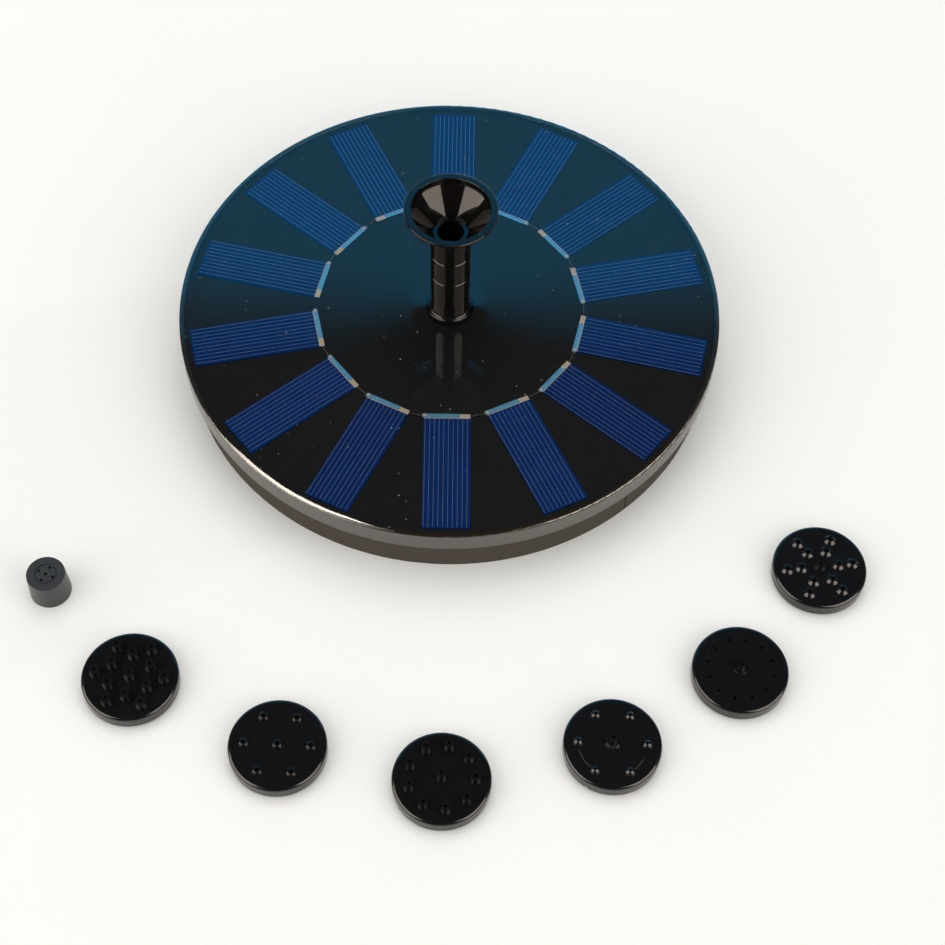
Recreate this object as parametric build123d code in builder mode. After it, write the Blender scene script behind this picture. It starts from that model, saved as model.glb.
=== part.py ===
from build123d import *
import os
from math import asin, cos, degrees, radians, sin

# Floating solar fountain: a round solar panel on a foam ring, with a small magnetic-drive
# centrifugal pump under its middle, a riser tube and funnel above it, and loose spray heads.
# Millimetres, +Z up. The origin is on the disc's axis, on the surface that it rests on.

os.makedirs("parts", exist_ok=True)

# ---------------------------------------------------------------- driving dimensions
disc_radius = 80.0
panel_top = 18.4
foam_height = 11.7
foam_radius = 78.3
foam_inner = 60.0
foam_seam_angle = -50.2
foam_seam_gap = 0.4

tray_floor = 1.3
rim_wall = 1.4
board_bottom = 16.2
board_top = 17.2
cell_thickness = 0.3
cell_count = 14
first_cell_angle = -91.2
cell_inner = 38.6
cell_outer = 76.6
cell_width = 13.5
ribbon_length = 10.8
ribbon_width = 1.3
ribbon_thickness = 0.15

tube_radius = 5.75
bore_radius = 3.8
spigot_radius = 4.65
socket_radius = 4.75
spigot_height = 5.6
socket_depth = 6.0
outlet_top = 34.3
extension_top = 43.5
funnel_top = 61.8
funnel_radius = 13.2
mouth_radius = 11.2

pump_y = 20.8
well_inner = 5.5
well_wall = 0.8
well_ceiling = 14.3
magnet_radius = 5.0
impeller_radius = 9.0
shaft_radius = 1.0
bush_clearance = 0.05

cover_radius = 38.2
cover_inner = 36.6
cover_floor = 1.4
cover_height = 9.4
body_radius = 36.2
body_inner = 34.8
web_bottom = 7.8
web_top = 8.7
flange_radius = 47.0
flange_bottom = 9.9
flange_top = 11.2
case_screw_circle = 43.5
case_screw_count = 4

twist_angle = 20.0
lug_count = 3
lug_half_angle = 5.0

head_radius = 13.2
head_lip_radius = 11.1
head_lip_drop = 0.8
head_skirt = 3.8
head_plate = 1.2


def save(piece, name):
    """Label a finished piece and write its STEP file."""
    piece.part.label = name
    export_step(piece.part, f"parts/{name}.step")


# ---------------------------------------------------------------- foam float ring
# A strip of closed-cell foam bent into a ring, its two ends meeting at a butt seam.
with BuildPart() as foam_float_ring:
    with BuildSketch():
        Circle(foam_radius)
        Circle(foam_inner, mode=Mode.SUBTRACT)
        with PolarLocations((foam_radius + foam_inner) / 2, 1, start_angle=foam_seam_angle):
            Rectangle(foam_radius - foam_inner + 2, foam_seam_gap, mode=Mode.SUBTRACT)
    extrude(amount=foam_height)
save(foam_float_ring, "foam_float_ring")

# ---------------------------------------------------------------- panel tray
# Moulded dish that carries the panel: floor, outer rim, ribs and four screw bosses.
tray_top_of_floor = foam_height + tray_floor
tray_hole = body_radius + 0.3
rib_inner = 50.0
rib_count = 12
rib_thickness = 1.0
rib_outer = disc_radius - rim_wall
case_boss_radius = 3.0
case_screw_radius = 1.15
case_boss_depth = 3.8
rim_rounding = 0.5

with BuildPart() as panel_tray:
    with BuildSketch(Plane.XY.offset(foam_height)):
        Circle(disc_radius)
        Circle(tray_hole, mode=Mode.SUBTRACT)
    extrude(amount=tray_floor)
    with BuildSketch(Plane.XY.offset(foam_height)):
        Circle(disc_radius)
        Circle(rib_outer, mode=Mode.SUBTRACT)
    extrude(amount=panel_top - foam_height)
    with BuildSketch(Plane.XY.offset(tray_top_of_floor)):
        with PolarLocations(case_screw_circle, case_screw_count, start_angle=45):
            Circle(case_boss_radius)
        with PolarLocations((rib_inner + rib_outer) / 2, rib_count):
            Rectangle(rib_outer - rib_inner + 0.4, rib_thickness)
    extrude(amount=board_bottom - tray_top_of_floor)
    with BuildSketch(Plane.XY.offset(foam_height)):
        with PolarLocations(case_screw_circle, case_screw_count, start_angle=45):
            Circle(case_screw_radius + 0.05)
    extrude(amount=case_boss_depth, mode=Mode.SUBTRACT)
    rim_edges = panel_tray.edges().filter_by(GeomType.CIRCLE).filter_by(
        lambda edge: abs(edge.radius - disc_radius) < 0.01
    )
    fillet(rim_edges, radius=rim_rounding)
save(panel_tray, "panel_tray")

# ---------------------------------------------------------------- panel board
# Black circuit board that the cells lie on, with a hole for the riser and two for the leads.
lead_x = 3.0
lead_y = 30.0
lead_hole_radius = 0.6
lead_radius = 0.5

with BuildPart() as panel_board:
    with BuildSketch(Plane.XY.offset(board_bottom)):
        Circle(rib_outer)
        Circle(tube_radius, mode=Mode.SUBTRACT)
        with Locations((lead_x, lead_y), (-lead_x, lead_y)):
            Circle(lead_hole_radius, mode=Mode.SUBTRACT)
    extrude(amount=board_top - board_bottom)
save(panel_board, "panel_board")

# ---------------------------------------------------------------- solar cells
# Fourteen cut strips of silicon, laid by hand in a ring, so that each sits a little askew.
cell_middle = (cell_inner + cell_outer) / 2
cell_step = 360 / cell_count
cells = []


def cell_plane(number, height):
    """Plane on a cell's middle, X pointing outwards, with that cell's own small error."""
    angle = first_cell_angle + cell_step * number + 0.25 * sin(1.7 * number)
    skew = 0.5 * sin(2.6 * number + 0.8)
    reach = cell_middle + 0.25 * sin(4.1 * number)
    middle = (reach * cos(radians(angle)), reach * sin(radians(angle)), height)
    outwards = (cos(radians(angle + skew)), sin(radians(angle + skew)), 0)
    return Plane(origin=middle, x_dir=outwards, z_dir=(0, 0, 1))


for number in range(cell_count):
    with BuildPart() as solar_cell:
        with BuildSketch(cell_plane(number, board_top)):
            Rectangle(cell_outer - cell_inner, cell_width)
        extrude(amount=cell_thickness)
    save(solar_cell, f"solar_cell_{number + 1:02d}")
    cells.append(solar_cell.part)

# ---------------------------------------------------------------- ribbons, solder and links
# A tinned ribbon lies across the inner end of each cell, from just past its clockwise edge, with
# a solder joint at that end, and a thin wire links it to the next cell. The string is open
# between two cells.
cell_top = board_top + cell_thickness
ribbon_top = cell_top + ribbon_thickness
ribbon_offset = -(cell_outer - cell_inner) / 2 + ribbon_width / 2
ribbon_start = -cell_width / 2 - 0.4
solder_length = 1.4
solder_width = 1.2
solder_height = 0.25
wire_width = 0.35
open_link = 10

with BuildPart() as bus_ribbons:
    for number in range(cell_count):
        with BuildSketch(cell_plane(number, cell_top)):
            with Locations((ribbon_offset, ribbon_start + ribbon_length / 2)):
                Rectangle(ribbon_width, ribbon_length)
        extrude(amount=ribbon_thickness)
save(bus_ribbons, "bus_ribbons")

with BuildPart() as solder_joints:
    for number in range(cell_count):
        with BuildSketch(cell_plane(number, ribbon_top)):
            with Locations((ribbon_offset, ribbon_start + solder_length / 2)):
                Ellipse(solder_width / 2, solder_length / 2)
        extrude(amount=solder_height, taper=25)
save(solder_joints, "solder_joints")

with BuildPart() as link_wires:
    for number in range(cell_count):
        if number == open_link:
            continue
        here = cell_plane(number, cell_top)
        there = cell_plane(number + 1, cell_top)
        start = here.from_local_coords(Vector(ribbon_offset + 0.1, cell_width / 2 + 0.05, 0))
        end = there.from_local_coords(Vector(ribbon_offset + 0.1, ribbon_start, 0))
        along = end - start
        middle = (start + end) * 0.5
        with BuildSketch(Plane(origin=middle, x_dir=along, z_dir=(0, 0, 1))):
            Rectangle(along.length, wire_width)
        extrude(amount=ribbon_thickness)
save(link_wires, "link_wires")

# ---------------------------------------------------------------- resin top
# Clear potting poured over the cells, level with the rim and tight round the riser.
with BuildPart() as resin_top:
    with BuildSketch(Plane.XY.offset(board_top)):
        Circle(rib_outer)
        Circle(tube_radius, mode=Mode.SUBTRACT)
    extrude(amount=panel_top - board_top)
    for cell in cells:
        add(cell, mode=Mode.SUBTRACT)
    add(bus_ribbons.part, mode=Mode.SUBTRACT)
    add(link_wires.part, mode=Mode.SUBTRACT)
    add(solder_joints.part, mode=Mode.SUBTRACT)
save(resin_top, "resin_top")

# ---------------------------------------------------------------- foot collar
# Bead of sealant round the riser's foot, where it leaves the panel.
collar_radius = 7.2
collar_height = 1.2

with BuildPart() as foot_collar:
    with BuildSketch(Plane.XZ):
        with BuildLine():
            foot = Line((tube_radius, panel_top), (collar_radius, panel_top))
            slope = ThreePointArc(
                foot @ 1,
                (tube_radius + 0.55, panel_top + 0.45),
                (tube_radius, panel_top + collar_height),
            )
            Line(slope @ 1, foot @ 0)
        make_face()
    revolve(axis=Axis.Z)
save(foot_collar, "foot_collar")


# ---------------------------------------------------------------- riser tubes
def tube_profile(low, high, has_socket):
    """Half-section of a riser tube: a spigot on top and, if wanted, a socket below."""
    if has_socket:
        inside = [(bore_radius, low + socket_depth), (socket_radius, low + socket_depth)]
        inside.append((socket_radius, low))
    else:
        inside = [(bore_radius, low)]
    outside = [(tube_radius, low), (tube_radius, high), (spigot_radius, high)]
    top = high + spigot_height
    with BuildSketch(Plane.XZ) as profile:
        with BuildLine():
            Polyline((bore_radius, top), *inside, *outside, (spigot_radius, top), close=True)
        make_face()
    return profile.sketch


def soften_ends(tube, heights):
    """Take the sharpness off a tube's outer edges at the given heights."""
    ends = tube.edges().filter_by(GeomType.CIRCLE).filter_by(
        lambda edge: abs(edge.radius - tube_radius) < 0.01
        and any(abs(edge.center().Z - height) < 0.01 for height in heights)
    )
    chamfer(ends, length=0.2)


# Outlet tube, cemented into the pump body and standing up through the panel.
with BuildPart() as outlet_tube:
    revolve(tube_profile(web_top, outlet_top, False), axis=Axis.Z)
    soften_ends(outlet_tube, [outlet_top])
save(outlet_tube, "outlet_tube")

# Extension tube, pushed on the outlet tube's spigot.
with BuildPart() as extension_tube:
    revolve(tube_profile(outlet_top, extension_top, True), axis=Axis.Z)
    soften_ends(extension_tube, [outlet_top, extension_top])
save(extension_tube, "extension_tube")

# ---------------------------------------------------------------- funnel adaptor
# Socket below, open cone above. A short land inside the mouth takes a spray head's lip.
rim_thickness = 1.1
land_depth = 2.0
cone_foot_radius = 5.1
cone_foot = 52.9
ledge = 52.1
outer_cone_foot = 53.5
outer_cone_radius = 12.1

with BuildPart() as funnel_adaptor:
    with BuildSketch(Plane.XZ):
        with BuildLine():
            Polyline(
                (bore_radius, extension_top + socket_depth),
                (bore_radius, ledge),
                (cone_foot_radius, ledge),
                (cone_foot_radius, cone_foot),
                (mouth_radius - 0.25, funnel_top - land_depth),
                (mouth_radius, funnel_top - land_depth),
                (mouth_radius, funnel_top),
                (funnel_radius, funnel_top),
                (funnel_radius, funnel_top - rim_thickness),
                (outer_cone_radius, funnel_top - rim_thickness),
                (tube_radius, outer_cone_foot),
                (tube_radius, extension_top),
                (socket_radius, extension_top),
                (socket_radius, extension_top + socket_depth),
                close=True,
            )
        make_face()
    revolve(axis=Axis.Z)
    soften_ends(funnel_adaptor, [extension_top])
    outer_rim = funnel_adaptor.edges().filter_by(GeomType.CIRCLE).filter_by(
        lambda edge: edge.radius > funnel_radius - 0.01
    )
    fillet(outer_rim, radius=0.25)
    inner_rim = funnel_adaptor.edges().filter_by(GeomType.CIRCLE).filter_by(
        lambda edge: abs(edge.radius - mouth_radius) < 0.01 and edge.center().Z > funnel_top - 0.01
    )
    fillet(inner_rim, radius=0.2)
save(funnel_adaptor, "funnel_adaptor")

# ---------------------------------------------------------------- volute shape
# The pump chamber: a spiral that widens clockwise round the impeller, and a straight duct
# that leaves it on a tangent and ends under the riser's bore.
throat_radius = 9.6
duct_width = 4.8
chamber_bottom = 4.4
duct_centre = throat_radius + duct_width / 2
duct_angle = degrees(asin(duct_centre / pump_y))
duct_length = pump_y * cos(radians(duct_angle))
spiral_start = -90 + duct_angle - 40
spiral_turn = 320.0
spiral_points = 13
tongue_gap = 0.6


def volute_outline(grow):
    """Plan of the chamber, or of its outside when grown by a wall thickness."""
    points = []
    for number in range(spiral_points):
        share = number / (spiral_points - 1)
        angle = radians(spiral_start - spiral_turn * share)
        reach = throat_radius + tongue_gap + (duct_width - tongue_gap) * share + grow
        points.append((reach * cos(angle), pump_y + reach * sin(angle)))
    slant = radians(90 - duct_angle)
    half = duct_length / 2
    duct_middle = (half * cos(slant), half * sin(slant), 0)
    with BuildSketch() as outline:
        with BuildLine():
            spiral = Spline(*points)
            Line(spiral @ 1, spiral @ 0)
        make_face()
        with Locations((0, pump_y)):
            Circle(throat_radius + grow)
        with Locations(Location(duct_middle, (0, 0, 90 - duct_angle))):
            Rectangle(duct_length, duct_width + 2 * grow)
        Circle(bore_radius + grow)
    return outline.sketch


# ---------------------------------------------------------------- volute cover
# Lower half of the pump chamber: spiral wall, inlet eye with a three-armed shaft support,
# and four ears for its screws.
volute_wall = 1.2
cover_plate_bottom = 3.5
ear_bottom = 5.5
ear_circle = 18.3
ear_angles = (15, 165, 210, 330)
ear_radius = 2.7
volute_screw_radius = 0.95
eye_radius = 4.6
spider_radius = 2.1
spider_top = 4.8
spider_arm_width = 1.0
shaft_seat = 0.5
screw_clearance = 0.15

ear_places = [
    (ear_circle * cos(radians(angle)), pump_y + ear_circle * sin(radians(angle)))
    for angle in ear_angles
]

with BuildPart() as volute_cover:
    with BuildSketch(Plane.XY.offset(cover_plate_bottom)):
        add(volute_outline(volute_wall))
    extrude(amount=web_bottom - cover_plate_bottom)
    with BuildSketch(Plane.XY.offset(ear_bottom)):
        for angle, place in zip(ear_angles, ear_places):
            with Locations(place):
                Circle(ear_radius)
            with Locations(Location((place[0], place[1], 0), (0, 0, angle))):
                Rectangle(2 * ear_radius + 3, 2 * ear_radius, align=(Align.MAX, Align.CENTER))
    extrude(amount=web_bottom - ear_bottom)
    with BuildSketch(Plane.XY.offset(chamber_bottom)):
        add(volute_outline(0))
    extrude(amount=web_bottom - chamber_bottom, mode=Mode.SUBTRACT)
    with BuildSketch(Plane.XY.offset(cover_plate_bottom)):
        with Locations((0, pump_y)):
            Circle(eye_radius)
    extrude(amount=chamber_bottom - cover_plate_bottom, mode=Mode.SUBTRACT)
    with BuildSketch(Plane.XY.offset(cover_plate_bottom)):
        with Locations((0, pump_y)):
            Circle(spider_radius)
            with PolarLocations((spider_radius + eye_radius) / 2, 3, start_angle=90):
                Rectangle(eye_radius - spider_radius + 1, spider_arm_width)
    extrude(amount=chamber_bottom - cover_plate_bottom)
    with BuildSketch(Plane.XY.offset(chamber_bottom)):
        with Locations((0, pump_y)):
            Circle(spider_radius)
    extrude(amount=spider_top - chamber_bottom)
    with BuildSketch(Plane.XY.offset(cover_plate_bottom + shaft_seat)):
        with Locations((0, pump_y)):
            Circle(shaft_radius)
    extrude(amount=spider_top - cover_plate_bottom, mode=Mode.SUBTRACT)
    with BuildSketch(Plane.XY.offset(ear_bottom)):
        with Locations(*ear_places):
            Circle(volute_screw_radius + screw_clearance)
    extrude(amount=web_bottom - ear_bottom + 1, mode=Mode.SUBTRACT)
save(volute_cover, "volute_cover")

# ---------------------------------------------------------------- pump body
# One moulding: dry motor chamber with flange above the web, closed rotor well, socket for the
# riser, and below the web a short skirt with the cover's bayonet lugs.
well_outer = well_inner + well_wall
well_top = well_ceiling + 0.7
riser_boss_radius = 7.2
post_radius = 2.3
post_top = 12.2
skirt_bottom = 4.6
lug_bottom = 5.0
lug_top = 6.4
lug_middle = 36.7
lug_depth = 1.4
shaft_pocket = 0.3
case_hole_clearance = 0.25

with BuildPart() as pump_body:
    with BuildSketch(Plane.XY.offset(web_bottom)):
        Circle(body_radius)
    extrude(amount=web_top - web_bottom)
    with BuildSketch(Plane.XY.offset(web_top)):
        Circle(body_radius)
        Circle(body_inner, mode=Mode.SUBTRACT)
        with Locations((0, pump_y)):
            Circle(well_outer)
        Circle(riser_boss_radius)
    extrude(amount=board_bottom - web_top)
    with BuildSketch(Plane.XY.offset(well_top)):
        with Locations((0, pump_y)):
            Circle(well_outer + 0.2)
    extrude(amount=board_bottom - well_top, mode=Mode.SUBTRACT)
    with BuildSketch(Plane.XY.offset(web_top)):
        with Locations(*ear_places):
            Circle(post_radius)
    extrude(amount=post_top - web_top)
    with BuildSketch(Plane.XY.offset(flange_bottom)):
        Circle(flange_radius)
        Circle(body_inner, mode=Mode.SUBTRACT)
        with PolarLocations(case_screw_circle, case_screw_count, start_angle=45):
            Circle(case_screw_radius + case_hole_clearance, mode=Mode.SUBTRACT)
    extrude(amount=flange_top - flange_bottom)
    with BuildSketch(Plane.XY.offset(skirt_bottom)):
        Circle(body_radius)
        Circle(body_inner, mode=Mode.SUBTRACT)
    extrude(amount=web_bottom - skirt_bottom)
    with BuildSketch(Plane.XY.offset(lug_bottom)):
        for number in range(lug_count):
            lug_arc = CenterArc(
                (0, 0), lug_middle, 120 * number - lug_half_angle, 2 * lug_half_angle
            )
            SlotArc(lug_arc, lug_depth)
    extrude(amount=lug_top - lug_bottom)
    with BuildSketch(Plane.XY.offset(web_bottom)):
        Circle(bore_radius)
    extrude(amount=web_top - web_bottom, mode=Mode.SUBTRACT)
    with BuildSketch(Plane.XY.offset(web_top)):
        Circle(tube_radius)
    extrude(amount=board_bottom - web_top, mode=Mode.SUBTRACT)
    with BuildSketch(Plane.XY.offset(web_bottom)):
        with Locations((0, pump_y)):
            Circle(well_inner)
    extrude(amount=well_ceiling - web_bottom, mode=Mode.SUBTRACT)
    with BuildSketch(Plane.XY.offset(web_bottom)):
        with Locations(*ear_places):
            Circle(volute_screw_radius + 0.05)
    extrude(amount=post_top - 0.5 - web_bottom, mode=Mode.SUBTRACT)
    with BuildSketch(Plane.XY.offset(well_ceiling)):
        with Locations((0, pump_y)):
            Circle(shaft_radius)
    extrude(amount=shaft_pocket, mode=Mode.SUBTRACT)
save(pump_body, "pump_body")

# ---------------------------------------------------------------- shaft, bushes and washers
# A ceramic shaft stands still between the spider and the well's ceiling; the rotor turns on it.
shaft_bottom = cover_plate_bottom + shaft_seat
shaft_top = well_ceiling + shaft_pocket
hub_bottom = 5.1
hub_top = 13.9
bush_length = 1.4
bush_radius = 1.8
bush_bore = shaft_radius + bush_clearance
washer_thickness = 0.2

with BuildPart() as ceramic_shaft:
    with BuildSketch(Plane.XY.offset(shaft_bottom)):
        with Locations((0, pump_y)):
            Circle(shaft_radius)
    extrude(amount=shaft_top - shaft_bottom)
save(ceramic_shaft, "ceramic_shaft")

with BuildPart() as thrust_washers:
    for height in (spider_top, well_ceiling - washer_thickness):
        with BuildSketch(Plane.XY.offset(height)):
            with Locations((0, pump_y)):
                Circle(spider_radius)
                Circle(shaft_radius, mode=Mode.SUBTRACT)
        extrude(amount=washer_thickness)
save(thrust_washers, "thrust_washers")

for name, height in (("lower_bush", hub_bottom), ("upper_bush", hub_top - bush_length)):
    with BuildPart() as bush:
        with BuildSketch(Plane.XY.offset(height)):
            with Locations((0, pump_y)):
                Circle(bush_radius)
                Circle(bush_bore, mode=Mode.SUBTRACT)
        extrude(amount=bush_length)
    save(bush, name)

# ---------------------------------------------------------------- impeller
# Five swept blades under a back plate, and a stem that carries the magnet.
blade_bottom = 4.8
plate_bottom = 6.8
plate_top = 7.4
stem_radius = 2.5
stem_bore_radius = 1.3
blade_count = 5
blade_thickness = 0.8
blade_arc = ThreePointArc((3.2, 0.2), (6.0, -1.0), (8.3, -3.3))

with BuildPart() as impeller:
    with BuildSketch(Plane.XY.offset(plate_bottom)):
        with Locations((0, pump_y)):
            Circle(impeller_radius)
    extrude(amount=plate_top - plate_bottom)
    with BuildSketch(Plane.XY.offset(hub_bottom)):
        with Locations((0, pump_y)):
            Circle(stem_radius)
    extrude(amount=hub_top - hub_bottom)
    with BuildSketch(Plane.XY.offset(blade_bottom)):
        with Locations((0, pump_y)):
            with PolarLocations(0, blade_count):
                SlotArc(blade_arc, blade_thickness)
    extrude(amount=plate_bottom - blade_bottom)
    with BuildSketch(Plane.XY.offset(blade_bottom - 0.1)):
        with Locations((0, pump_y)):
            Circle(stem_bore_radius)
    extrude(amount=hub_top, mode=Mode.SUBTRACT)
    for height in (blade_bottom - 0.1, hub_top - bush_length):
        with BuildSketch(Plane.XY.offset(height)):
            with Locations((0, pump_y)):
                Circle(bush_radius)
        reach = hub_bottom + bush_length - height if height < hub_bottom else bush_length + 0.1
        extrude(amount=reach, mode=Mode.SUBTRACT)
save(impeller, "impeller")

# ---------------------------------------------------------------- rotor magnet
magnet_bottom = 7.9
magnet_top = 13.4

with BuildPart() as rotor_magnet:
    with BuildSketch(Plane.XY.offset(magnet_bottom)):
        with Locations((0, pump_y)):
            Circle(magnet_radius)
            Circle(stem_radius, mode=Mode.SUBTRACT)
    extrude(amount=magnet_top - magnet_bottom)
    outer_edges = rotor_magnet.edges().filter_by(GeomType.CIRCLE).filter_by(
        lambda edge: abs(edge.radius - magnet_radius) < 0.01
    )
    chamfer(outer_edges, length=0.3)
save(rotor_magnet, "rotor_magnet")

# ---------------------------------------------------------------- stator
# Four wound poles round the rotor well: a laminated core, a plastic bobbin and a copper coil
# on each pole.
core_bottom = 9.7
core_top = 13.0
core_outer = 13.5
core_inner = 11.5
shoe_inner = well_outer + 0.3
shoe_outer = shoe_inner + 0.9
shoe_half_angle = 26
pole_width = 3.0
pole_count = 4
bobbin_wall = 0.4
coil_wall = 1.1
coil_length = core_inner - shoe_outer - 0.8
coil_middle = shoe_outer + 0.2 + coil_length / 2
core_height = core_top - core_bottom
core_centre = (core_top + core_bottom) / 2

with BuildPart() as stator_core:
    with BuildSketch(Plane.XY.offset(core_bottom)):
        with Locations((0, pump_y)):
            Circle(core_outer)
            Circle(core_inner, mode=Mode.SUBTRACT)
            with PolarLocations((shoe_inner + core_inner) / 2, pole_count, start_angle=45):
                Rectangle(core_inner - shoe_inner + 0.4, pole_width)
            for number in range(pole_count):
                shoe_arc = CenterArc(
                    (0, 0),
                    (shoe_inner + shoe_outer) / 2,
                    45 + 90 * number - shoe_half_angle,
                    2 * shoe_half_angle,
                )
                SlotArc(shoe_arc, shoe_outer - shoe_inner)
            Circle(shoe_inner, mode=Mode.SUBTRACT)
    extrude(amount=core_height)
save(stator_core, "stator_core")


def pole_sleeve(inner_width, inner_height, wall, length):
    """A square sleeve round each pole, its bore along the pole."""
    with Locations((0, pump_y, core_centre)):
        with PolarLocations(coil_middle, pole_count, start_angle=45):
            Box(length, inner_width + 2 * wall, inner_height + 2 * wall)
    with Locations((0, pump_y, core_centre)):
        with PolarLocations(coil_middle, pole_count, start_angle=45):
            Box(length + 1, inner_width, inner_height, mode=Mode.SUBTRACT)


with BuildPart() as coil_bobbins:
    pole_sleeve(pole_width, core_height, bobbin_wall, coil_length)
save(coil_bobbins, "coil_bobbins")

coil_bore_width = pole_width + 2 * bobbin_wall
coil_bore_height = core_height + 2 * bobbin_wall
coil_height_wall = core_bottom - bobbin_wall - web_top - 0.05

with BuildPart() as stator_coils:
    with Locations((0, pump_y, core_centre)):
        with PolarLocations(coil_middle, pole_count, start_angle=45):
            Box(
                coil_length,
                coil_bore_width + 2 * coil_wall,
                coil_bore_height + 2 * coil_height_wall,
            )
    with Locations((0, pump_y, core_centre)):
        with PolarLocations(coil_middle, pole_count, start_angle=45):
            Box(coil_length + 1, coil_bore_width, coil_bore_height, mode=Mode.SUBTRACT)
save(stator_coils, "stator_coils")

# ---------------------------------------------------------------- driver board and its parts
# Ring-shaped board over the coils with the position sensor, the driver and a capacitor.
driver_bottom = 14.1
driver_top = 14.9
on_board = (Align.CENTER, Align.CENTER, Align.MIN)

with BuildPart() as driver_board:
    with BuildSketch(Plane.XY.offset(driver_bottom)):
        with Locations((0, pump_y)):
            Circle(core_outer)
            Circle(well_outer + 0.4, mode=Mode.SUBTRACT)
    extrude(amount=driver_top - driver_bottom)
save(driver_board, "driver_board")

with BuildPart() as driver_components:
    with Locations((0, pump_y - 8.6, driver_top)):
        Box(2.9, 1.6, 0.8, align=on_board)
    with Locations((-9.6, pump_y + 2.0, driver_top)):
        Box(3.0, 3.0, 0.9, align=on_board)
    with Locations((9.8, pump_y + 1.0, driver_top)):
        Cylinder(1.6, 1.1, align=on_board)
save(driver_components, "driver_components")

# Two short leads climb from the driver board to the panel board.
for name, side in (("lead_positive", 1), ("lead_negative", -1)):
    with BuildPart() as lead:
        with Locations((side * lead_x, lead_y, driver_top)):
            Cylinder(lead_radius, board_top - driver_top, align=on_board)
    save(lead, name)

# ---------------------------------------------------------------- motor potting
# Epoxy that fills the motor chamber round the stator.
potting_top = 13.9

with BuildPart() as motor_potting:
    with BuildSketch(Plane.XY.offset(web_top)):
        Circle(body_inner)
        Circle(riser_boss_radius, mode=Mode.SUBTRACT)
        with Locations((0, pump_y)):
            Circle(core_outer, mode=Mode.SUBTRACT)
    extrude(amount=potting_top - web_top)
    with BuildSketch(Plane.XY.offset(web_top)):
        with Locations(*ear_places):
            Circle(post_radius)
    extrude(amount=post_top - web_top, mode=Mode.SUBTRACT)
save(motor_potting, "motor_potting")

# ---------------------------------------------------------------- case gasket
# A flat rubber ring, squeezed between the body's flange and the tray's floor.
gasket_outer = 41.0
gasket_inner = 37.2

with BuildPart() as case_gasket:
    with BuildSketch(Plane.XY.offset(flange_top)):
        Circle(gasket_outer)
        Circle(gasket_inner, mode=Mode.SUBTRACT)
    extrude(amount=foam_height - flange_top)
save(case_gasket, "case_gasket")


# ---------------------------------------------------------------- screws
def pan_screw(head, head_height, shank, shank_length, seat):
    """Pan-head screw driven upwards, its head's seat at the given height, with a cross slot."""
    with BuildPart() as screw:
        with BuildSketch(Plane.XY.offset(seat - head_height)):
            Circle(head)
        extrude(amount=head_height)
        with BuildSketch(Plane.XY.offset(seat)):
            Circle(shank)
        extrude(amount=shank_length)
        fillet(screw.edges().filter_by(GeomType.CIRCLE).sort_by(Axis.Z)[0], head_height * 0.45)
        with BuildSketch(Plane.XY.offset(seat - head_height)):
            Rectangle(head * 1.2, head * 0.28)
            Rectangle(head * 0.28, head * 1.2)
        extrude(amount=head_height * 0.5, mode=Mode.SUBTRACT)
    return screw.part


case_screw = pan_screw(2.4, 1.4, case_screw_radius, 5.2, flange_bottom)
volute_screw = pan_screw(1.6, 1.2, volute_screw_radius, 6.0, ear_bottom)

with BuildPart() as case_screws:
    with PolarLocations(case_screw_circle, case_screw_count, start_angle=45):
        add(case_screw)
save(case_screws, "case_screws")

with BuildPart() as volute_screws:
    with Locations(*ear_places):
        add(volute_screw)
save(volute_screws, "volute_screws")

# ---------------------------------------------------------------- filter pad
# Disc of open foam between the cover's floor and the pump inlet.
pad_bottom = cover_floor
pad_top = 3.3

with BuildPart() as filter_pad:
    with BuildSketch(Plane.XY.offset(pad_bottom)):
        Circle(cover_inner)
    extrude(amount=pad_top - pad_bottom)
save(filter_pad, "filter_pad")

# ---------------------------------------------------------------- strainer cover
# Round cup that twists on to the body's lugs. Its floor and wall are slotted, and the plain
# middle of the floor is the flat that the pump rests on.
floor_slot_count = 30
floor_slot_inner = 13.0
floor_slot_outer = 34.0
floor_slot_width = 1.4
wall_slot_count = 40
wall_slot_bottom = 1.9
wall_slot_top = 4.1
wall_slot_width = 1.6
groove_middle = 37.05
groove_depth = 1.4
groove_bottom = 4.7
groove_top = 6.7
groove_slack = 2.5

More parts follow.
